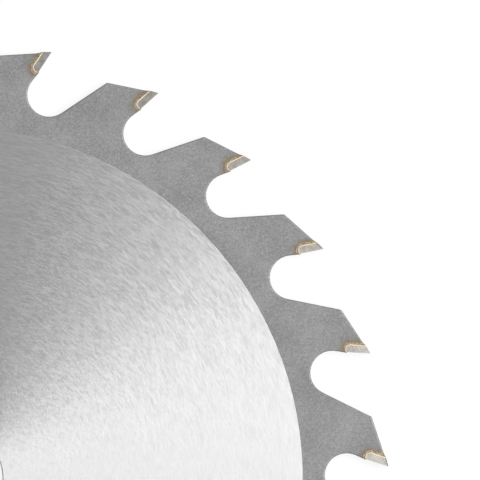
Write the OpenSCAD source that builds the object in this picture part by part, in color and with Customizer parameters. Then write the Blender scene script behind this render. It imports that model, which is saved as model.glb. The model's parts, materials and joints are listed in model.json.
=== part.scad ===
// Circular saw blade with brazed carbide tips and alternately bevelled teeth.
// The blade lies flat: +Z is its axis, the origin is the middle of the bore halfway through the plate,
// and the first tooth points along +X. Seen from +Z the teeth cut clockwise.

/* [Blade] */
// Diameter over the tips
blade_d = 250; // [230:1:300]
// Number of teeth, even because the bevels alternate
teeth = 24; // [20:2:26]
// Thickness of the ground middle of the plate
plate_t = 2.2; // [1.8:0.1:2.6]
// Diameter of the arbor bore
bore_d = 30; // [16:0.1:60]
// Width of the blasted rim, from the tips in to the ground middle
rim_w = 24.5; // [21:0.1:40]
// Depth that blasting takes off each face of the rim
blast_depth = 0.03; // [0.01:0.01:0.08]

/* [Tooth] */
// Angle by which the cutting face leans forward of the radius
hook = 20; // [12:1:25]
// Slope of the tooth's top behind its tip
top_slope = 16.7; // [14:0.1:19]
// Depth of the tooth's top below the cutting circle, measured on the radius of the cutting edge
top_drop = 0.1; // [0:0.02:0.3]
// Length of the tooth from its cutting edge back to its heel
heel_l = 14.3; // [12:0.05:15.5]
// Rounding of the heel
heel_r = 0.8; // [0.3:0.1:1.5]
// Depth of the gullet below the cutting circle
gullet_depth = 18.2; // [17:0.1:19.5]
// Radius of the gullet
gullet_r = 6.25; // [5.5:0.05:7]
// Angle by which the wall under the tip falls back from the line of the cutting face
undercut = 5.7; // [3:0.1:9]
// Width of the ledge that stands out in front of the tip
ledge_w = 0.2; // [0.1:0.05:0.8]

/* [Carbide tip] */
// Width of the tip across its cutting edge, which is the width of the cut
kerf = 3.2; // [2.8:0.1:3.8]
// Length of the tip down its cutting face
tip_l = 6.9; // [5.5:0.1:7.5]
// Thickness of the tip behind its cutting face
tip_t = 1.9; // [1.6:0.1:2.4]
// Rounding of the tip's lower back corner
tip_corner_r = 1.1; // [0.6:0.1:1.4]
// Clearance angle of the tip's top
top_clearance = 12.5; // [8:0.5:14]
// Bevel across the tip's top, to one side and the other in turn
top_bevel = 7; // [3:0.5:8]
// Angle by which the tip narrows towards the bore
radial_clearance = 1.25; // [0.5:0.25:1.5]
// Angle by which the tip narrows behind its cutting face
tangential_clearance = 3; // [1:0.5:3.5]

/* [Braze] */
// Thickness of the braze between tip and plate
braze_gap = 0.15; // [0.1:0.01:0.25]
// Width of the braze fillet on the plate's face
braze_w = 1; // [0.6:0.1:1.5]
// Height of the braze fillet against the tip, before the sides are ground
braze_h = 0.5; // [0.3:0.02:0.6]
// Radius of the hollow of the braze fillet
braze_hollow_r = 1.2; // [0.8:0.1:2]
// Thickness of the braze fillet at its outer edge
braze_edge = 0.03; // [0.02:0.01:0.06]
// Length of the braze toe on the ledge in front of the tip
toe_l = 0.15; // [0.1:0.05:0.45]
// Height of the braze toe up the cutting face
toe_h = 0.4; // [0.2:0.05:0.8]
// Length of the braze left on top of the tooth behind the tip
crown_l = 1.5; // [1:0.1:2]
// Height of that braze where it meets the tip
crown_h = 0.35; // [0.2:0.05:0.5]

/* [Hidden] */
$fn = 96;
overcut = 4;
pitch = 360 / teeth;
tip_r = blade_d / 2;
ground_r = tip_r - rim_w;
rim_t = plate_t - 2 * blast_depth;
pocket_corner_r = tip_corner_r + braze_gap;
crown_hollow_r = pow(crown_l, 2) / (2 * crown_h);

function turned(p, angle) = [p.x * cos(angle) - p.y * sin(angle), p.x * sin(angle) + p.y * cos(angle)];
function unit(v) = v / norm(v);

// Plan of a tooth, with its cutting edge at the top of the circle and cutting towards +X.
// A point is named by its distance behind the cutting face and its distance down that face.
function on_tooth(behind, down) = [0, tip_r] + turned([-behind, -down], -hook);

// Where the tangent from a point touches a circle, on the side that is turned forwards (1) or back (-1)
function touch_point(p, centre, r, side) =
    let (away = p - centre)
    let (angle = atan2(away.y, away.x) + side * acos(r / norm(away)))
    centre + r * [cos(angle), sin(angle)];

// Wall under the tip: it starts at the nose of the ledge and runs tangent into the gullet
ledge_nose = on_tooth(-ledge_w, tip_l + braze_gap);
wall_dir = -[sin(hook + undercut), cos(hook + undercut)];
wall_normal = [cos(hook + undercut), -sin(hook + undercut)];

// Gullet: its circle touches the wall under the tip and reaches down to the gullet's depth
gullet_centre_r = tip_r - gullet_depth + gullet_r;
above_gullet = ledge_nose + gullet_r * wall_normal;
fall = -above_gullet * wall_dir;
wall_l = fall - sqrt(fall * fall - above_gullet * above_gullet + gullet_centre_r * gullet_centre_r);
gullet_centre = above_gullet + wall_l * wall_dir;
gullet_front = gullet_centre - gullet_r * wall_normal;

// Heel: the top of the tooth meets the back, which runs tangent into the gullet behind it
ridge_dir = [cos(top_slope), sin(top_slope)];
ridge_start = [0, tip_r - top_drop];
ridge_at_wall = ridge_start
    - (tip_t + braze_gap + top_drop * sin(hook)) / cos(hook + top_slope) * ridge_dir;
heel = ridge_start - heel_l / cos(top_slope) * ridge_dir;
gullet_back = touch_point(heel, turned(gullet_centre, pitch), gullet_r, -1);
back_dir = unit(gullet_back - heel);
heel_half_angle = acos(ridge_dir * back_dir) / 2;
heel_cut = heel_r / tan(heel_half_angle);
heel_centre = heel + heel_r / sin(heel_half_angle) * unit(ridge_dir + back_dir);

function two_digits(i) = str(i < 10 ? "0" : "", i);
function tip_name(i) = str("carbide_tip_", two_digits(i));
function seam_name(i) = str("braze_seam_", two_digits(i));
// Odd teeth slope down to the upper face (1), even teeth to the lower face (-1)
function bevel_side(i) = i % 2 == 1 ? 1 : -1;

// Turns the plan of a tooth to its place on the blade
module at_tooth(i) {
    rotate([0, 0, (i - 1) * pitch - 90]) children();
}

// Places a shape whose origin is the cutting edge and whose -Y runs down the cutting face
module on_cutting_face() {
    translate([0, tip_r, 0]) rotate([0, 0, -hook]) children();
}

// Everything on the far side of a sloping plane through the origin
module above() {
    translate([-blade_d / 2, 0, -blade_d / 2]) cube(blade_d);
}

// Plan of the opening ahead of a tooth: the pocket for its tip, the gullet and the room over the next tooth
module tooth_gap() {
    next_tooth = [
        gullet_back,
        heel + heel_cut * back_dir,
        heel + heel_cut * ridge_dir,
        ridge_start + overcut * ridge_dir
    ];
    difference() {
        polygon(concat(
            [
                on_tooth(tip_t + braze_gap, -overcut),
                on_tooth(tip_t + braze_gap, tip_l - tip_corner_r),
                on_tooth(tip_t - tip_corner_r, tip_l + braze_gap),
                ledge_nose,
                gullet_front
            ],
            [for (p = next_tooth) turned(p, -pitch)],
            [turned([0, tip_r + 2 * overcut], -pitch / 2)]
        ));
        translate(turned(heel_centre, -pitch)) circle(r = heel_r);
    }
    translate(gullet_centre) circle(r = gullet_r);
    translate(on_tooth(tip_t - tip_corner_r, tip_l - tip_corner_r)) circle(r = pocket_corner_r);
}

// Plan of a block behind and below the cutting edge, with its lower back corner rounded
module rounded_block(thickness, length, corner_r, lead = 0) {
    translate([-thickness, -length])
        difference() {
            square([thickness + lead, length + lead]);
            difference() {
                translate([-overcut, -overcut]) square(overcut + corner_r);
                translate([corner_r, corner_r]) circle(r = corner_r);
            }
        }
}

// Section of a braze fillet, standing on steel against the wall of the pocket and hollow above
module fillet_section(width, height, hollow_r, lead) {
    crest = [0, height];
    edge = [width, braze_edge];
    slope = edge - crest;
    hollow_rise = sqrt(pow(hollow_r, 2) - slope * slope / 4);
    difference() {
        polygon([[-lead, 0], [width, 0], edge, crest, [-lead, height]]);
        translate((crest + edge) / 2 + hollow_rise * unit([-slope.y, slope.x])) circle(r = hollow_r);
    }
}

// Section of the fillet on a face of the plate
module side_section() {
    fillet_section(braze_w, braze_h, braze_hollow_r, braze_gap / 2);
}

// Braze fillet on one face of the plate: up the back of the tip, round its corner and along its foot
module fillet_run() {
    back_l = tip_l - tip_corner_r;
    foot_l = tip_t - tip_corner_r;
    translate([-tip_t - braze_gap, 0, 0]) mirror([1, 0, 0]) rotate([90, 0, 0])
        linear_extrude(height = back_l) side_section();
    translate([-foot_l, -back_l, 0]) rotate([0, 0, 180]) rotate_extrude(angle = 90)
        translate([pocket_corner_r, 0]) side_section();
    translate([0, -tip_l - braze_gap, 0]) rotate([90, 0, -90])
        linear_extrude(height = foot_l) side_section();
}

// Steel plate: toothed outline, ground middle standing just proud of the blasted rim, arbor bore
module saw_plate() {
    color([0.62, 0.63, 0.64])
    difference() {
        union() {
            linear_extrude(height = rim_t, center = true)
                difference() {
                    circle(r = tip_r);
                    for (i = [1 : teeth]) at_tooth(i) tooth_gap();
                }
            cylinder(r = ground_r, h = plate_t, center = true);
        }
        cylinder(d = bore_d, h = plate_t + overcut, center = true);
    }
}

// Plan of a tip as it fills its pocket, open above and in front
module tip_room() {
    rounded_block(tip_t, tip_l, tip_corner_r, overcut);
}

// What grinding takes off both sides of a tip and the braze beside it
module ground_off_sides() {
    for (face = [0, 1])
        mirror([0, 0, face]) translate([0, 0, kerf / 2])
            rotate([90 + radial_clearance, -tangential_clearance, 0]) above();
}

// What grinding takes off the top of a tip and the braze behind it
module ground_off_top(side) {
    translate([0, 0, -side * kerf / 2]) rotate([0, 0, top_clearance + hook])
        rotate([side * top_bevel, 0, 0]) above();
}

// Carbide tip: narrows inwards and backwards on both sides, with its top sloping back and to one side
module carbide_tip(side) {
    color([0.74, 0.71, 0.69])
    on_cutting_face()
        difference() {
            linear_extrude(height = kerf, center = true) rounded_block(tip_t, tip_l, tip_corner_r);
            ground_off_sides();
            ground_off_top(side);
        }
}

// Braze as it runs: the layer between tip and pocket, the fillets on both faces and the toe before the tip
module braze_run() {
    linear_extrude(height = rim_t + 2 * braze_h, center = true)
        difference() {
            rounded_block(tip_t + braze_gap, tip_l + braze_gap, pocket_corner_r);
            tip_room();
        }
    linear_extrude(height = rim_t, center = true)
        polygon([
            [toe_l, -tip_l - braze_gap],
            [0, -tip_l + toe_h],
            [0, -tip_l],
            [-braze_gap, -tip_l],
            [-braze_gap, -tip_l - braze_gap]
        ]);
    for (face = [0, 1]) mirror([0, 0, face]) translate([0, 0, rim_t / 2]) fillet_run();
}

// Braze left on top of the tooth, a fillet against the back of the tip
module braze_crown() {
    linear_extrude(height = rim_t, center = true)
        difference() {
            translate(ridge_at_wall) rotate(top_slope) mirror([1, 0])
                fillet_section(crown_l, crown_h, crown_hollow_r, tip_t);
            on_cutting_face() tip_room();
        }
}

// Braze: ground flush with the sides and the top of the tip, a skin above the top of the tooth
module braze_seam(side) {
    color([0.78, 0.62, 0.33])
    difference() {
        union() {
            difference() {
                on_cutting_face() braze_run();
                translate(ridge_start) rotate([0, 0, top_slope])
                    translate([0, braze_edge, 0]) above();
            }
            braze_crown();
        }
        on_cutting_face() ground_off_sides();
        on_cutting_face() ground_off_top(side);
    }
}

saw_plate();
for (i = [1 : teeth]) {
    at_tooth(i) carbide_tip(bevel_side(i));
    at_tooth(i) braze_seam(bevel_side(i));
}
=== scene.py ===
# %% [markdown]
# # A carbide-tipped circular saw blade
# A saw blade for a table saw is a thin disc of hard steel. Each tooth carries a small block of carbide,
# which is set into a pocket and held there by silver braze. The CAD frame gives all these solids at their
# real size. This lesson gives them what a drawing leaves out: broken edges, braze that ran, and the marks
# of the grinder.

# %% Load the CAD frame
import json
import math

import bpy
from mathutils import Matrix, Vector, noise

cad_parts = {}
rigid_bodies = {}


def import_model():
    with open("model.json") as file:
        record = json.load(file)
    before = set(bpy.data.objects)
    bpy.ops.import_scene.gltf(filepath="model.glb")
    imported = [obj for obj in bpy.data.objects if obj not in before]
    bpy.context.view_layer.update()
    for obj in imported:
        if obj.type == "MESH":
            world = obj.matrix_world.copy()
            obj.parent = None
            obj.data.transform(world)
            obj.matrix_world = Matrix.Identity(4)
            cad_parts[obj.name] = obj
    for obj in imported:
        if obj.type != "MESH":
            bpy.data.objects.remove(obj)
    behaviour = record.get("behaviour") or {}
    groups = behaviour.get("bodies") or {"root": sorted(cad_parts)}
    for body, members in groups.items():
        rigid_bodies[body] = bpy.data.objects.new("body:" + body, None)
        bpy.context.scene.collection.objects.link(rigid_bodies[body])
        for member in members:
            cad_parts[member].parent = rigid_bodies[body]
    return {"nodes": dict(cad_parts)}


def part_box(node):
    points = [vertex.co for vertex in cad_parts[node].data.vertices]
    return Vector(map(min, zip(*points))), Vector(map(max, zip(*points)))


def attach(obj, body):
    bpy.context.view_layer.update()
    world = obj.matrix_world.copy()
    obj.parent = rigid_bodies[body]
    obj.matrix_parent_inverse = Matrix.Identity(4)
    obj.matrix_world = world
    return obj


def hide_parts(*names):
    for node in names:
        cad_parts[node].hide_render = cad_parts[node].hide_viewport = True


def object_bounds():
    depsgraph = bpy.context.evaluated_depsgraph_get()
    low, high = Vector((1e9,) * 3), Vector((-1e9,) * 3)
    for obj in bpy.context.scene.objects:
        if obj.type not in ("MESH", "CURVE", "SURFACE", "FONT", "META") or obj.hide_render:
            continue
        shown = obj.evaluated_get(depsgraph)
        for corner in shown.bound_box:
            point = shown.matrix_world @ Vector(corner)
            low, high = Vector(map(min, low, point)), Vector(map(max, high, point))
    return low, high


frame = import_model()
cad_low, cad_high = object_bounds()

MM = 0.001
blade_r = cad_high.x  # the first tooth points along +X
nodes = frame["nodes"]
print(f"{len(nodes)} solids, blade {2 * blade_r / MM:.1f} mm across")

# %% [markdown]
# ## Camera
# The picture looks straight down on one quarter of the blade, from so far away that no wall of a gullet
# shows. A short lens close by would frame the same quarter, but it would show those walls. So the lens is
# long, and its height follows from the width of the picture on the plate. The hub lies just outside the
# picture.

# %% Camera
FRAME_PX = 480
HUB_PX = Vector((-49.94, 478.84))
CUTTING_RADIUS_PX = 438.6
BLADE_TURN = math.radians(1.62)
LENS_MM = 500
SENSOR_MM = 36

m_per_px = blade_r / CUTTING_RADIUS_PX
picture_middle = Vector((FRAME_PX / 2 - HUB_PX.x, HUB_PX.y - FRAME_PX / 2, 0)) * m_per_px
aim = Matrix.Rotation(-BLADE_TURN, 3, "Z") @ picture_middle
camera_height = FRAME_PX * m_per_px * LENS_MM / SENSOR_MM
bpy.ops.object.camera_add(location=(aim.x, aim.y, camera_height), rotation=(0, 0, -BLADE_TURN))
camera = bpy.context.object
camera.data.lens = LENS_MM
camera.data.sensor_width = SENSOR_MM
bpy.context.scene.camera = camera
bpy.context.scene.view_settings.view_transform = "Standard"
print(f"camera {camera_height:.3f} m above the plate, aimed at {aim.x / MM:.1f}, {aim.y / MM:.1f} mm")

# %% [markdown]
# ## Helpers for nodes
# Every finish below is a small network of shader nodes. In the editor each node is placed and wired by
# hand. In code the same steps repeat for every node, so a few helpers add a node, fill in its sockets and
# hand back the output that the next node needs.

# %% Helpers that add a node
def plug(tree, socket, value):
    """Link an output to a socket, or write a plain value on it."""
    if isinstance(value, bpy.types.NodeSocket):
        tree.links.new(value, socket)
    else:
        socket.default_value = value


def add_node(tree, kind, inputs=None, **settings):
    """Add a shader node, set its options, and set or link its sockets by name or number."""
    made = tree.nodes.new("ShaderNode" + kind)
    for option, value in settings.items():
        setattr(made, option, value)
    for socket, value in (inputs or {}).items():
        plug(tree, made.inputs[socket], value)
    return made


def calculate(tree, operation, *values):
    return add_node(tree, "Math", dict(enumerate(values)), operation=operation).outputs[0]


def vector_of(tree, operation, *values):
    """A vector operation that gives a vector, such as a difference."""
    return add_node(tree, "VectorMath", dict(enumerate(values)), operation=operation).outputs["Vector"]


def number_of(tree, operation, *values):
    """A vector operation that gives one number, such as a length."""
    return add_node(tree, "VectorMath", dict(enumerate(values)), operation=operation).outputs["Value"]


def turn_flat(tree, vector, angle):
    """Turn a vector about the blade's axis."""
    made = add_node(tree, "VectorRotate", {"Vector": vector, "Angle": angle}, rotation_type="Z_AXIS")
    return made.outputs[0]


def map_range(tree, value, low, high, to_low=0.0, to_high=1.0):
    """Turn the range low..high into to_low..to_high, with soft ends."""
    ends = {"From Min": low, "From Max": high, "To Min": to_low, "To Max": to_high}
    made = add_node(tree, "MapRange", {"Value": value, **ends}, interpolation_type="SMOOTHSTEP")
    return made.outputs["Result"]


print("helpers that add a node are ready")

# %% [markdown]
# ## Helpers for finishes
# A noise node stays near one half most of the time, so its raw value would hardly show. One helper
# stretches it over the range that is wanted. The others mix colours, tilt the shading and fill in the
# main shader.

# %% Helpers for finishes
def grain(tree, place, size, detail=2.0):
    """Noise whose blotches are about this size, in metres."""
    made = add_node(tree, "TexNoise", {"Vector": place, "Scale": 1 / size, "Detail": detail})
    return made.outputs["Fac"]


def spread(tree, value, reach, to_low=0.0, to_high=1.0):
    """Stretch a noise over a range. Reach is how far from one half it may go before it counts as full."""
    return map_range(tree, value, 0.5 - reach, 0.5 + reach, to_low, to_high)


def weigh(tree, *pairs):
    """Mean of several values, each given with its weight."""
    total = 0.0
    for value, weight in pairs:
        total = calculate(tree, "MULTIPLY_ADD", value, weight, total)
    return total


def colour(red, green, blue):
    return (red, green, blue, 1)


def grey(level):
    return colour(level, level, level)


def mix_colours(tree, amount, first, second, blend="MIX"):
    mixed = add_node(tree, "Mix", {0: amount, 6: first, 7: second}, data_type="RGBA", blend_type=blend)
    return mixed.outputs[2]


def roughen(tree, height, strength, depth):
    """Tilt the shading as if the surface rose and sank by this depth."""
    return add_node(tree, "Bump", {"Height": height, "Strength": strength, "Distance": depth}).outputs[0]


def new_finish(name):
    """A material with its tree, its main shader and the coordinates of the piece it is on."""
    material = bpy.data.materials.new(name)
    material.use_nodes = True
    tree = material.node_tree
    place = add_node(tree, "TexCoord").outputs["Object"]
    return material, tree, tree.nodes["Principled BSDF"], place


def dress(tree, shader, **sockets):
    """Plug values into the main shader. The name Base_Color stands for the socket Base Color."""
    for name, value in sockets.items():
        plug(tree, shader.inputs[name.replace("_", " ")], value)


print("helpers for finishes are ready")

# %% [markdown]
# ## Floor and light
# The blade lies on its tips on a white table. The table is white to the eye and in reflections, through
# Light Path, and it still takes a part of its light from the lamps, so that the blade keeps its shadow.
# The marks on a ground disc all run round the hub, so every spot mirrors only what stands in line with
# the hub. One large lamp on the right is therefore enough to draw the bright fan, and a weak one further
# round lets the fan fade slowly. A dim room keeps the rest of the disc grey, and the pale walls of that
# room are what low views see behind the blade.

# %% Floor
FLOOR_W = 16
FLOOR_WHITE = grey(0.9)
FLOOR_ROUGHNESS = 0.8
FLOOR_OWN_WHITE = 0.85

bpy.ops.mesh.primitive_plane_add(size=FLOOR_W, location=(0, 0, cad_low.z))
floor = bpy.context.object
floor.name = "floor"
table_white, tree, shader, _ = new_finish("table_white")
dress(tree, shader, Base_Color=FLOOR_WHITE, Roughness=FLOOR_ROUGHNESS)
path = add_node(tree, "LightPath").outputs
seen = calculate(tree, "MAXIMUM", path["Is Camera Ray"], path["Is Glossy Ray"])
seen = calculate(tree, "MAXIMUM", seen, path["Is Transmission Ray"])
own_white = add_node(tree, "Emission", {"Color": grey(1), "Strength": 1})
share = calculate(tree, "MULTIPLY", seen, FLOOR_OWN_WHITE)
both = add_node(tree, "MixShader", {0: share, 1: shader.outputs[0], 2: own_white.outputs[0]})
tree.links.new(both.outputs[0], tree.nodes["Material Output"].inputs["Surface"])
floor.data.materials.append(table_white)
print("floor at", round(floor.location.z / MM, 2), "mm")

# %% Light
WALL_LIGHT = 0.95
CEILING_LIGHT = 0.5
WALL_END = 0.1
CEILING_START = 0.5
LAMP_DISTANCE = 10

world = bpy.data.worlds.new("studio")
bpy.context.scene.world = world
world.use_nodes = True
tree = world.node_tree
direction = add_node(tree, "TexCoord").outputs["Generated"]
height = add_node(tree, "SeparateXYZ", {0: direction}).outputs["Z"]
room = map_range(tree, height, WALL_END, CEILING_START, WALL_LIGHT, CEILING_LIGHT)
plug(tree, tree.nodes["Background"].inputs["Strength"], room)
plug(tree, tree.nodes["Background"].inputs["Color"], grey(1))


def add_lamp(name, azimuth, elevation, width, height, watts):
    """A rectangular lamp that faces the hub from this direction, in degrees."""
    turn, rise = math.radians(azimuth), math.radians(elevation)
    to_lamp = Vector((math.cos(turn), math.sin(turn), math.tan(rise))).normalized()
    facing = to_lamp.to_track_quat("Z", "Y").to_euler()
    bpy.ops.object.light_add(type="AREA", location=to_lamp * LAMP_DISTANCE, rotation=facing)
    lamp = bpy.context.object
    lamp.name = name
    lamp.data.shape = "RECTANGLE"
    lamp.data.size, lamp.data.size_y = width, height
    lamp.data.energy = watts
    lamp.visible_camera = False
    print(name, "at", [round(c, 2) for c in lamp.location])


add_lamp("key_lamp", azimuth=4, elevation=52, width=8.0, height=5.4, watts=905)
add_lamp("side_lamp", azimuth=53, elevation=52, width=2.0, height=5.4, watts=60)

# %% [markdown]
# ## Where a spot lies on its tooth
# Tip, braze and the stain beside them follow the tooth and not the blade. A UV map for every tooth would
# do, but all teeth are alike, so one node group is shorter: it turns any spot of the blade back onto the
# first tooth. There it measures how far the spot lies behind the cutting face, how far down that face,
# how far outside the pocket of the tip, and how deep below the plane to which the sides of the tip were
# ground. It also draws a number for each tooth, so that no two of them need look quite the same.

# %% Where a spot lies on its tooth
TEETH = sum(name.startswith("carbide_tip_") for name in nodes)
PITCH = math.tau / TEETH
HOOK = math.radians(20)
POCKET_BACK = 2.05 * MM
POCKET_FOOT = 7.05 * MM
POCKET_CORNER = 1.25 * MM
LEDGE_W = 0.2 * MM
KERF = cad_high.z - cad_low.z
RADIAL_CLEARANCE = math.radians(1.25)
TANGENTIAL_CLEARANCE = math.radians(3)
TOOTH_OUTPUTS = ("Behind", "Down", "Outside pocket", "Below side", "Lot")


def new_tooth_group():
    group = bpy.data.node_groups.new("tooth_place", "ShaderNodeTree")
    group.interface.new_socket("Place", in_out="INPUT", socket_type="NodeSocketVector")
    for name in TOOTH_OUTPUTS:
        group.interface.new_socket(name, in_out="OUTPUT", socket_type="NodeSocketFloat")
    place = group.nodes.new("NodeGroupInput").outputs["Place"]
    result = group.nodes.new("NodeGroupOutput").inputs

    spot = add_node(group, "SeparateXYZ", {0: place}).outputs
    angle = calculate(group, "ARCTAN2", spot["Y"], spot["X"])
    number = calculate(group, "ROUND", calculate(group, "DIVIDE", angle, PITCH))
    turn = calculate(group, "MULTIPLY", number, -PITCH)
    from_edge = vector_of(group, "SUBTRACT", turn_flat(group, place, turn), (blade_r, 0, 0))
    behind = number_of(group, "DOT_PRODUCT", from_edge, (math.sin(HOOK), math.cos(HOOK), 0))
    down = number_of(group, "DOT_PRODUCT", from_edge, (-math.cos(HOOK), math.sin(HOOK), 0))

    past_back = calculate(group, "SUBTRACT", behind, POCKET_BACK - POCKET_CORNER)
    past_foot = calculate(group, "SUBTRACT", down, POCKET_FOOT - POCKET_CORNER)
    past_back = calculate(group, "MAXIMUM", past_back, 0)
    past_foot = calculate(group, "MAXIMUM", past_foot, 0)
    past_both = add_node(group, "CombineXYZ", {0: past_back, 1: past_foot}).outputs[0]
    outside = calculate(group, "SUBTRACT", number_of(group, "LENGTH", past_both), POCKET_CORNER)
    ahead = calculate(group, "SUBTRACT", -LEDGE_W, behind)
    outside = calculate(group, "MAXIMUM", outside, ahead)

    narrowing = calculate(group, "MULTIPLY", behind, math.tan(TANGENTIAL_CLEARANCE))
    narrowing = calculate(group, "MULTIPLY_ADD", down, math.tan(RADIAL_CLEARANCE), narrowing)
    side = calculate(group, "SUBTRACT", KERF / 2, narrowing)
    below = calculate(group, "SUBTRACT", side, calculate(group, "ABSOLUTE", spot["Z"]))

    number = calculate(group, "WRAP", number, TEETH, 0)
    lot = add_node(group, "TexWhiteNoise", {"W": number}, noise_dimensions="1D").outputs["Value"]
    for name, value in zip(TOOTH_OUTPUTS, (behind, down, outside, below, lot)):
        plug(group, result[name], value)
    return group


tooth_group = new_tooth_group()


def tooth_outputs(tree, place):
    """The outputs of the tooth group for the spot being shaded."""
    made = tree.nodes.new("ShaderNodeGroup")
    made.node_tree = tooth_group
    plug(tree, made.inputs["Place"], place)
    return made.outputs


print("tooth group with", len(tooth_group.nodes), "nodes, for", TEETH, "teeth")

# %% [markdown]
# ## Ground steel
# The middle of the plate is ground while it turns, which leaves thousands of fine scratches round the
# hub, and the wheel's own turning adds arcs that cross them. Painting them as a picture would need a very
# large image. Here noises are stretched along circles, by feeding them the direction from a centre and
# the distance from it: the hub for two sets of scratches, and points beside the hub for the arcs. The fan
# itself isn't painted: the shader is anisotropic, and its tangent points away from the hub. The noises
# turn that tangent by a few degrees, so that the scratches stand out where the fan fades and drown where
# it is brightest, as they do on real steel.

# %% Streaks round a centre
def flat_from(tree, place, centre=(0, 0)):
    """The arrow from a centre on the plate to a spot, without its height."""
    away = vector_of(tree, "SUBTRACT", place, (*centre, 0))
    return vector_of(tree, "MULTIPLY", away, (1, 1, 0))


def streaks(tree, place, centre, turns, width):
    """Noise drawn out along circles. Turns is how often it changes per radian."""
    arrow = flat_from(tree, place, centre)
    outward = vector_of(tree, "NORMALIZE", arrow)
    along = add_node(tree, "VectorMath", {0: outward, "Scale": turns}, operation="SCALE")
    rings = calculate(tree, "DIVIDE", number_of(tree, "LENGTH", arrow), width)
    across = add_node(tree, "CombineXYZ", {2: rings})
    return grain(tree, vector_of(tree, "ADD", along.outputs["Vector"], across.outputs[0]), 1)


print("streaks are ready")

# %% Ground steel
STREAK_SETS = (
    # centre of the circles, changes per radian, width of a streak, weight
    ((0, 0), 20, 0.26 * MM, 0.3),
    ((0, 0), 70, 0.2 * MM, 0.3),
    ((-16 * MM, 12 * MM), 22, 0.26 * MM, 0.2),
    ((14 * MM, -18 * MM), 22, 0.26 * MM, 0.2),
)
STREAK_REACH = 0.12
STREAK_SWAY = math.radians(12)
STREAK_DEPTH = 0.01 * MM
GROUND_DARK = grey(0.546)
GROUND_LIGHT = grey(0.622)
GROUND_ROUGHNESS = (0.36, 0.44)

ground_steel, tree, shader, place = new_finish("ground_steel")
outward = vector_of(tree, "NORMALIZE", flat_from(tree, place))
marks = weigh(tree, *((streaks(tree, place, *shape), weight) for *shape, weight in STREAK_SETS))
marks = spread(tree, marks, STREAK_REACH)
sway = map_range(tree, marks, 0, 1, STREAK_SWAY / 2, -STREAK_SWAY / 2)
dress(
    tree, shader, Metallic=1, Anisotropic=0.85, Tangent=turn_flat(tree, outward, sway),
    Base_Color=mix_colours(tree, marks, GROUND_DARK, GROUND_LIGHT),
    Roughness=map_range(tree, marks, 0, 1, *GROUND_ROUGHNESS),
    Normal=roughen(tree, marks, strength=0.1, depth=STREAK_DEPTH),
)
print("ground steel:", len(tree.nodes), "nodes")

# %% [markdown]
# ## Blasted steel
# Round the ground middle the rim keeps its blasted skin: an even, dull grey with fine grit marks. Noises
# of three sizes give its tone, and one more gives a few bright pits. The heat of brazing leaves a brown
# stain round each pocket, which the tooth group places: a faint tint further out, and a burnt edge beside
# the braze.

# %% Blasted steel
CLOUD_SIZE = 9 * MM
MOTTLE_SIZE = 1.0 * MM
GRIT_SIZE = 0.45 * MM
GRIT_DEPTH = 0.03 * MM
SKIN_REACH = 0.2
SKIN_DARK = grey(0.233)
SKIN_LIGHT = grey(0.366)
SKIN_ROUGHNESS = (0.58, 0.68)
PIT_LIGHT = grey(0.43)
PIT_STARTS = (0.7, 0.8)
STAIN_PATCH = 0.9 * MM
STAIN_STRAY = 1.2 * MM
TINT_FADES = (0.6 * MM, 2.2 * MM)
TINT_SHARE = 0.75
TINT_BROWN = colour(0.265, 0.238, 0.212)
BURN_FADES = (0.3 * MM, 0.8 * MM)
BURN_SHARE = 0.8
BURN_BROWN = colour(0.265, 0.205, 0.14)

blasted_steel, tree, shader, place = new_finish("blasted_steel")
cloud = grain(tree, place, CLOUD_SIZE, 3)
mottle = grain(tree, place, MOTTLE_SIZE)
grit = grain(tree, place, GRIT_SIZE)
tone = weigh(tree, (grit, 0.58), (mottle, 0.12), (cloud, 0.3))
skin = mix_colours(tree, spread(tree, tone, SKIN_REACH), SKIN_DARK, SKIN_LIGHT)
pits = map_range(tree, grain(tree, place, GRIT_SIZE, 1), *PIT_STARTS)
skin = mix_colours(tree, pits, skin, PIT_LIGHT)

outside = tooth_outputs(tree, place)["Outside pocket"]
patches = spread(tree, grain(tree, place, STAIN_PATCH, 3), SKIN_REACH)
from_braze = calculate(tree, "MULTIPLY_ADD", patches, -STAIN_STRAY, outside)
tinted = map_range(tree, from_braze, *TINT_FADES, TINT_SHARE, 0)
skin = mix_colours(tree, tinted, skin, TINT_BROWN)
burnt = map_range(tree, from_braze, *BURN_FADES, BURN_SHARE, 0)
skin = mix_colours(tree, burnt, skin, BURN_BROWN)
dress(
    tree, shader, Base_Color=skin, Metallic=1,
    Roughness=spread(tree, mottle, SKIN_REACH, *SKIN_ROUGHNESS),
    Normal=roughen(tree, grit, strength=0.25, depth=GRIT_DEPTH),
)
print("blasted steel:", len(tree.nodes), "nodes")

# %% [markdown]
# ## Cut steel
# The outline of the plate was cut right through the sheet, so its walls carry fine lines from face to
# face. A noise that changes fast round the outline and slowly through the plate gives them. Under each
# tip a little braze has run down the wall.

# %% Cut steel
CUT_LINE = 0.15 * MM
CUT_STRETCH = (1, 1, 0.06)
CUT_DEPTH = 0.03 * MM
CUT_REACH = 0.2
CUT_DARK = grey(0.3)
CUT_LIGHT = grey(0.46)
CUT_ROUGHNESS = (0.38, 0.5)
RUN_PATCH = 0.6 * MM
RUN_STRAY = 1.5 * MM
RUN_FADES = (-0.4 * MM, 0.5 * MM)
RUN_SHARE = 0.9
RUN_GOLD = colour(0.46, 0.36, 0.22)

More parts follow.
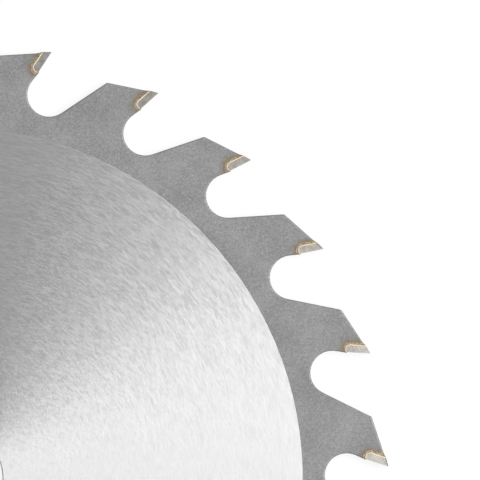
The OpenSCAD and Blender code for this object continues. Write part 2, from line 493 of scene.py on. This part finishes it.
cut_steel, tree, shader, place = new_finish("cut_steel")
lines = grain(tree, vector_of(tree, "MULTIPLY", place, CUT_STRETCH), CUT_LINE, 3)
wall = mix_colours(tree, spread(tree, lines, CUT_REACH), CUT_DARK, CUT_LIGHT)
outside = tooth_outputs(tree, place)["Outside pocket"]
from_run = calculate(tree, "MULTIPLY_ADD", grain(tree, place, RUN_PATCH), -RUN_STRAY, outside)
gilded = map_range(tree, from_run, *RUN_FADES, RUN_SHARE, 0)
wall = mix_colours(tree, gilded, wall, RUN_GOLD)
dress(
    tree, shader, Base_Color=wall, Metallic=1,
    Roughness=spread(tree, lines, CUT_REACH, *CUT_ROUGHNESS),
    Normal=roughen(tree, lines, strength=0.3, depth=CUT_DEPTH),
)
print("cut steel:", len(tree.nodes), "nodes")

# %% [markdown]
# ## Carbide
# Carbide is a hard grey grit held together by a little metal. Its sides and its face were ground with a
# fine diamond wheel, so it has a satin shine with very fine lines, and faint clouds that are a little
# warmer where they are dark. No two tips have quite the same tint, and the number that the tooth group
# draws sets it. The top is ground last, across the tooth and with a coarser wheel that leaves stronger
# lines. Its colour is painted far darker: a painted shade for the dark surroundings that the top mirrors.

# %% Carbide
WHEEL_TURNS = 40
WHEEL_LINE = 0.1 * MM
WHEEL_DEPTH = 0.01 * MM
CARBIDE_CLOUD = 1.6 * MM
CARBIDE_REACH = 0.15
WHEEL_REACH = 0.2
CARBIDE_ROUGHNESS = (0.34, 0.46)
CARBIDE_TINTS = (colour(0.52, 0.489, 0.46), colour(0.55, 0.519, 0.48))
CARBIDE_SHADES = (colour(0.83, 0.8, 0.79), colour(1.05, 1.07, 1.07))

carbide, tree, shader, place = new_finish("carbide")
outward = vector_of(tree, "NORMALIZE", flat_from(tree, place))
wheel_marks = streaks(tree, place, (0, 0), WHEEL_TURNS, WHEEL_LINE)
tone = weigh(tree, (wheel_marks, 0.3), (grain(tree, place, CARBIDE_CLOUD, 3), 0.7))
tint = mix_colours(tree, tooth_outputs(tree, place)["Lot"], *CARBIDE_TINTS)
shade = mix_colours(tree, spread(tree, tone, CARBIDE_REACH), *CARBIDE_SHADES)
dress(
    tree, shader, Metallic=1, Anisotropic=0.45, Tangent=outward,
    Base_Color=mix_colours(tree, 1, tint, shade, blend="MULTIPLY"),
    Roughness=spread(tree, wheel_marks, WHEEL_REACH, *CARBIDE_ROUGHNESS),
    Normal=roughen(tree, wheel_marks, strength=0.15, depth=WHEEL_DEPTH),
)
print("carbide:", len(tree.nodes), "nodes")

# %% Top of the carbide, with painted shade
TOP_LINE = 0.1 * MM
TOP_STRETCH = (1, 1, 0.1)
# Painted shade: the top's two greys are far darker than the carbide, for the dark surroundings it
# mirrors.
TOP_PAINTED_SHADE_DARK = grey(0.1)
TOP_PAINTED_SHADE_LIGHT = grey(0.2)

carbide_top_painted_shade, tree, shader, place = new_finish("carbide_top_painted_shade")
wheel_marks = grain(tree, vector_of(tree, "MULTIPLY", place, TOP_STRETCH), TOP_LINE)
dress(
    tree, shader, Metallic=1, Roughness=0.45,
    Base_Color=mix_colours(tree, spread(tree, wheel_marks, WHEEL_REACH), TOP_PAINTED_SHADE_DARK, TOP_PAINTED_SHADE_LIGHT),
    Normal=roughen(tree, wheel_marks, strength=0.3, depth=WHEEL_DEPTH),
)
print("top of the carbide:", len(tree.nodes), "nodes")

# %% [markdown]
# ## Braze
# Silver braze is a pale gold metal. Where the side grinding reached it, it is bare and bright. Below that
# it is a rough olive gold under a patchy crust of flux, duller than metal, and its thin outer edge is
# burnt brown. The foot, where most braze ran together, is paler, and the toe in front of the tip is dark.
# Each of these is one more colour, laid over the last where the tooth group says.

# %% Colours of the braze
GOLD_DARK = colour(0.21, 0.155, 0.075)
GOLD_LIGHT = colour(0.5, 0.405, 0.25)
FLUX_BROWN = colour(0.245, 0.19, 0.11)
FOOT_PALE = colour(0.49, 0.42, 0.32)
FILM_BROWN = colour(0.23, 0.175, 0.12)
TOE_DARK = colour(0.19, 0.16, 0.1)
BLOTCH_SIZE = 0.5 * MM
BLOTCH_REACH = 0.15
FLUX_SIZE = 0.8 * MM
FLUX_STARTS = (0.45, 0.65)
FLUX_SHARE = 0.6
FOOT_STARTS = (5.6 * MM, 7 * MM)
FOOT_SHARE = 0.65
FILM_STRAY = 0.9 * MM
FILM_STARTS = (0.1 * MM, 0.5 * MM)
FILM_SHARE = 0.85
TOE_FADES = (0, 0.35 * MM)
LEDGE_STARTS = (6.8 * MM, 7.1 * MM)

braze, tree, shader, place = new_finish("braze")
tooth = tooth_outputs(tree, place)
blotch = grain(tree, place, BLOTCH_SIZE, 3)
gold = mix_colours(tree, spread(tree, blotch, BLOTCH_REACH), GOLD_DARK, GOLD_LIGHT)
fluxed = map_range(tree, grain(tree, place, FLUX_SIZE), *FLUX_STARTS, 0, FLUX_SHARE)
gold = mix_colours(tree, fluxed, gold, FLUX_BROWN)
at_foot = map_range(tree, tooth["Down"], *FOOT_STARTS, 0, FOOT_SHARE)
gold = mix_colours(tree, at_foot, gold, FOOT_PALE)
from_edge = calculate(tree, "MULTIPLY_ADD", blotch, -FILM_STRAY, tooth["Outside pocket"])
filmed = map_range(tree, from_edge, *FILM_STARTS, 0, FILM_SHARE)
gold = mix_colours(tree, filmed, gold, FILM_BROWN)
at_front = map_range(tree, tooth["Behind"], *TOE_FADES, 1, 0)
at_ledge = map_range(tree, tooth["Down"], *LEDGE_STARTS)
gold = mix_colours(tree, calculate(tree, "MULTIPLY", at_front, at_ledge), gold, TOE_DARK)
print("crusted braze:", len(tree.nodes), "nodes")

# %% Braze that was ground bare
BARE_GOLD = colour(0.92, 0.81, 0.64)
FLUSH_FADES = (0.005 * MM, 0.03 * MM)
POLISH_FADES = (5.2 * MM, 6.6 * MM)
POLISH_LEAST = 0.5
BRAZE_METAL = (0.3, 0.6)
BRAZE_ROUGHNESS = (0.52, 0.36)
CRUST_SIZE = 0.15 * MM
CRUST_DEPTH = 0.03 * MM

flush = map_range(tree, tooth["Below side"], *FLUSH_FADES, 1, 0)
polished = map_range(tree, tooth["Down"], *POLISH_FADES, 1, POLISH_LEAST)
bare = calculate(tree, "MULTIPLY", flush, polished)
crust = grain(tree, place, CRUST_SIZE, 3)
dress(
    tree, shader, Base_Color=mix_colours(tree, bare, gold, BARE_GOLD),
    Metallic=map_range(tree, bare, 0, 1, *BRAZE_METAL),
    Roughness=map_range(tree, bare, 0, 1, *BRAZE_ROUGHNESS),
    Normal=roughen(tree, crust, strength=0.4, depth=CRUST_DEPTH),
)
print("braze:", len(tree.nodes), "nodes")

# %% [markdown]
# ## Copies of the CAD solids
# The frame's solids stay as they are. A piece that gets softer edges starts as a copy of one: the copy is
# welded, because its triangles come loose from each other, and its flat faces are made whole again, so
# that a bevel finds only the real edges.

# %% Copies of the CAD solids
WELD = 0.001 * MM
FLAT = math.radians(1)
SMOOTH_ANGLE = math.radians(40)


def pick(piece):
    """Make this the only selected piece."""
    bpy.ops.object.select_all(action="DESELECT")
    piece.select_set(True)
    bpy.context.view_layer.objects.active = piece


def copy_of(node, name):
    piece = bpy.data.objects.new(name, nodes[node].data.copy())
    bpy.context.scene.collection.objects.link(piece)
    piece.data.materials.clear()
    pick(piece)
    bpy.ops.mesh.customdata_custom_splitnormals_clear()
    bpy.ops.object.mode_set(mode="EDIT")
    bpy.ops.mesh.select_all(action="SELECT")
    bpy.ops.mesh.mark_sharp(clear=True)
    bpy.ops.mesh.remove_doubles(threshold=WELD)
    bpy.ops.mesh.dissolve_limited(angle_limit=FLAT)
    bpy.ops.mesh.select_all(action="DESELECT")
    bpy.ops.object.mode_set(mode="OBJECT")
    return piece


def apply_modifier(piece, kind, **settings):
    """Add a modifier to the picked piece, set its options and apply it."""
    modifier = piece.modifiers.new(kind.lower(), kind)
    for option, value in settings.items():
        setattr(modifier, option, value)
    bpy.ops.object.modifier_apply(modifier=modifier.name)


def smooth_edges(piece):
    """Shade round the bevels, and let the large flat faces keep their own direction."""
    pick(piece)
    bpy.ops.object.shade_smooth_by_angle(angle=SMOOTH_ANGLE)
    apply_modifier(piece, "WEIGHTED_NORMAL", keep_sharp=True)


def hand_over(piece, node):
    """Let the piece stand for its CAD solid."""
    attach(piece, "root")
    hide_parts(node)


print("ready to copy", len(nodes), "solids")

# %% [markdown]
# ## Plate
# Deburring rounds every edge of the outline by a few tenths of a millimetre, and those rounds catch the
# lamp. A bevel over all sharp edges would also take the tiny step where the ground middle meets the rim,
# and would shrink to fit it. So the edges are picked by place: the two rims of the outline, without the
# pockets that the braze fills, and the two edges of the bore. Then every face gets its steel.

# %% Edges of the plate
RIM_W = 24.5 * MM
RIM_STEP = 0.03 * MM
BORE_R = 15 * MM
CLOSE = 0.005 * MM
POCKET_MARGIN = 0.1 * MM
INSIDE_RIM = 1 * MM
GROUND_R = blade_r - RIM_W
PLATE_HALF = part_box("saw_plate")[1].z
RIM_HALF = PLATE_HALF - RIM_STEP


def tooth_spot(spot):
    """How far behind the cutting face and how far down it a spot lies, on its own tooth."""
    turn = -round(math.atan2(spot.y, spot.x) / PITCH) * PITCH
    local = Matrix.Rotation(turn, 3, "Z") @ spot - Vector((blade_r, 0, 0))
    behind = local.x * math.sin(HOOK) + local.y * math.cos(HOOK)
    down = local.y * math.sin(HOOK) - local.x * math.cos(HOOK)
    return behind, down


def in_pocket(spot):
    behind, down = tooth_spot(spot)
    return -POCKET_MARGIN < behind < POCKET_BACK + CLOSE and down < POCKET_FOOT + CLOSE


def lies_at(a, b, half):
    """Whether an edge lies flat, this far above or below the middle of the plate."""
    return abs(abs(a.z) - half) < CLOSE and abs(a.z - b.z) < CLOSE


def on_outline(a, b):
    on_rim = min(a.xy.length, b.xy.length) > GROUND_R + INSIDE_RIM
    return lies_at(a, b, RIM_HALF) and on_rim and not in_pocket((a + b) / 2)


def on_bore(a, b):
    off_bore = max(abs(a.xy.length - BORE_R), abs(b.xy.length - BORE_R))
    return lies_at(a, b, PLATE_HALF) and off_bore < CLOSE


print(f"ground middle {GROUND_R / MM:.1f} mm in radius, plate {2 * PLATE_HALF / MM:.2f} mm thick")

# %% Plate
EDGE_BREAK = 0.45 * MM
BORE_BREAK = 0.3 * MM
WALL_TILT = 0.3
PLATE_STEELS = (blasted_steel, ground_steel, cut_steel)


def bevel_where(piece, wanted, width, segments):
    """Bevel the edges whose two ends pass the test, and say how many they were."""
    pick(piece)
    bpy.ops.object.mode_set(mode="EDIT")
    bpy.ops.mesh.select_mode(type="EDGE")
    bpy.ops.mesh.select_all(action="DESELECT")
    bpy.ops.object.mode_set(mode="OBJECT")
    mesh = piece.data
    for edge in mesh.edges:
        edge.select = wanted(*(mesh.vertices[v].co for v in edge.vertices))
    picked = sum(edge.select for edge in mesh.edges)
    bpy.ops.object.mode_set(mode="EDIT")
    bpy.ops.mesh.bevel(offset=width, segments=segments, affect="EDGES", clamp_overlap=True)
    bpy.ops.object.mode_set(mode="OBJECT")
    return picked


def steel_of(face):
    if abs(face.normal.z) < WALL_TILT:
        return cut_steel
    if face.center.xy.length < GROUND_R and abs(face.center.z) > PLATE_HALF - CLOSE:
        return ground_steel
    return blasted_steel


plate = copy_of("saw_plate", "plate")
outline_edges = bevel_where(plate, on_outline, EDGE_BREAK, 3)
bore_edges = bevel_where(plate, on_bore, BORE_BREAK, 2)
for steel in PLATE_STEELS:
    plate.data.materials.append(steel)
smooth_edges(plate)
for face in plate.data.polygons:
    face.material_index = PLATE_STEELS.index(steel_of(face))
hand_over(plate, "saw_plate")
print(f"plate: {outline_edges} outline edges and {bore_edges} bore edges broken")

# %% [markdown]
# ## Tips
# A carbide tip leaves the diamond wheel with sharp edges. A bevel of a few hundredths of a millimetre is
# still sharp to the eye, and gives the shader a line to catch the light on. The faces that look away from
# the hub are the top, and get its painted shade: a colour far darker than the carbide's.

# %% Tips
TIP_EDGE = 0.03 * MM
TIP_EDGE_ANGLE = math.radians(25)
TOP_FACING = 0.7


def make_tip(number):
    node = f"carbide_tip_{number:02d}"
    tip = copy_of(node, f"tip_{number:02d}")
    apply_modifier(tip, "BEVEL", width=TIP_EDGE, segments=2, angle_limit=TIP_EDGE_ANGLE)
    smooth_edges(tip)
    tip.data.materials.append(carbide)
    tip.data.materials.append(carbide_top_painted_shade)
    # The faces that look away from the hub get the painted shade of the top.
    for face in tip.data.polygons:
        outward = face.center.xy.normalized()
        face.material_index = int(face.normal.xy.dot(outward) > TOP_FACING)
    hand_over(tip, node)
    return tip


tips = [make_tip(number) for number in range(1, TEETH + 1)]
print(len(tips), "tips of", len(tips[0].data.polygons), "faces")

# %% [markdown]
# ## Braze seams
# Molten braze wets the steel as far as the flux reached and freezes in an uneven bead. The CAD seam is an
# even fillet. A copy of it is remeshed into small even faces and thinned out again, and crumbs that broke
# off its thin ends are dropped. Then its outer edge wanders, its toe in front of the tip swells, and its
# surface rises and sinks with a noise that differs from place to place. The strip that was ground flush
# with the tip stays flat, and so does what lies against the tip.

# %% Remeshing a seam
BRAZE_VOXEL = 0.05 * MM
BRAZE_KEEP = 0.2


def drop_crumbs(seam):
    """Keep only what hangs together with the foot of the seam."""
    bpy.ops.object.mode_set(mode="EDIT")
    bpy.ops.mesh.select_mode(type="VERT")
    bpy.ops.mesh.select_all(action="DESELECT")
    bpy.ops.object.mode_set(mode="OBJECT")
    foot = max(seam.data.vertices, key=lambda point: tooth_spot(point.co)[1])
    foot.select = True
    bpy.ops.object.mode_set(mode="EDIT")
    bpy.ops.mesh.select_linked()
    bpy.ops.mesh.select_all(action="INVERT")
    bpy.ops.mesh.delete(type="VERT")
    bpy.ops.object.mode_set(mode="OBJECT")


def remeshed_seam(node, name):
    seam = copy_of(node, name)
    apply_modifier(seam, "REMESH", mode="VOXEL", voxel_size=BRAZE_VOXEL)
    apply_modifier(seam, "DECIMATE", ratio=BRAZE_KEEP)
    drop_crumbs(seam)
    return seam


print(f"seams get faces of about {BRAZE_VOXEL / MM:.2f} mm")

# %% Braze seams
EDGE_WANDER = 0.45 * MM
EDGE_WAVE = 1.1 * MM
EDGE_START = 0.1 * MM
EDGE_FULL = 0.8 * MM
LUMP = 0.05 * MM
LUMP_WAVE = 0.55 * MM
TOE_SWELL = 0.2 * MM
TOE_BIAS = 0.6
TOE_FULL = 0.1 * MM
FLUSH_DEPTH = 0.03 * MM
FREE_DEPTH = 0.15 * MM
TOP_SLOPE = math.radians(16.7)
TOP_DROP = 0.1 * MM
TOP_FREE = 0.6 * MM


def ramp(value, low, high):
    return min(max((value - low) / (high - low), 0), 1)


def let_run(seam, number):
    """Move the points of one seam the way the braze ran."""
    turn = Matrix.Rotation((number - 1) * PITCH, 3, "Z")
    behind_axis = turn @ Vector((math.sin(HOOK), math.cos(HOOK), 0))
    down_axis = turn @ Vector((-math.cos(HOOK), math.sin(HOOK), 0))
    top_axis = turn @ Vector((math.cos(TOP_SLOPE), math.sin(TOP_SLOPE), 0))
    top_reach = (blade_r - TOP_DROP) * math.cos(TOP_SLOPE)
    for point in seam.data.vertices:
        spot = point.co.copy()
        behind, down = tooth_spot(spot)
        if behind < 0:
            swell = TOE_SWELL * (TOE_BIAS + noise.noise(spot / EDGE_WAVE)) * ramp(-behind, 0, TOE_FULL)
            point.co -= behind_axis * swell
        past_back = max(behind - POCKET_BACK + POCKET_CORNER, 0)
        past_foot = max(down - POCKET_FOOT + POCKET_CORNER, 0)
        outside = math.hypot(past_back, past_foot) - POCKET_CORNER
        side = KERF / 2 - behind * math.tan(TANGENTIAL_CLEARANCE) - down * math.tan(RADIAL_CLEARANCE)
        free = ramp(side - abs(spot.z), FLUSH_DEPTH, FREE_DEPTH) * ramp(outside, 0, EDGE_START)
        free *= ramp(top_reach - spot.dot(top_axis), 0, TOP_FREE)
        if free == 0:
            continue
        outward = (behind_axis * past_back + down_axis * past_foot).normalized()
        wander = noise.noise(spot / EDGE_WAVE) * EDGE_WANDER * free * ramp(outside, EDGE_START, EDGE_FULL)
        point.co += outward * wander
        point.co.z += math.copysign(noise.noise(spot / LUMP_WAVE) * LUMP * free, spot.z)


def make_braze(number):
    node = f"braze_seam_{number:02d}"
    seam = remeshed_seam(node, f"braze_{number:02d}")
    let_run(seam, number)
    bpy.ops.object.shade_smooth()
    seam.data.materials.append(braze)
    hand_over(seam, node)
    return seam


seams = [make_braze(number) for number in range(1, TEETH + 1)]
print(len(seams), "seams of about", len(seams[0].data.polygons), "faces")
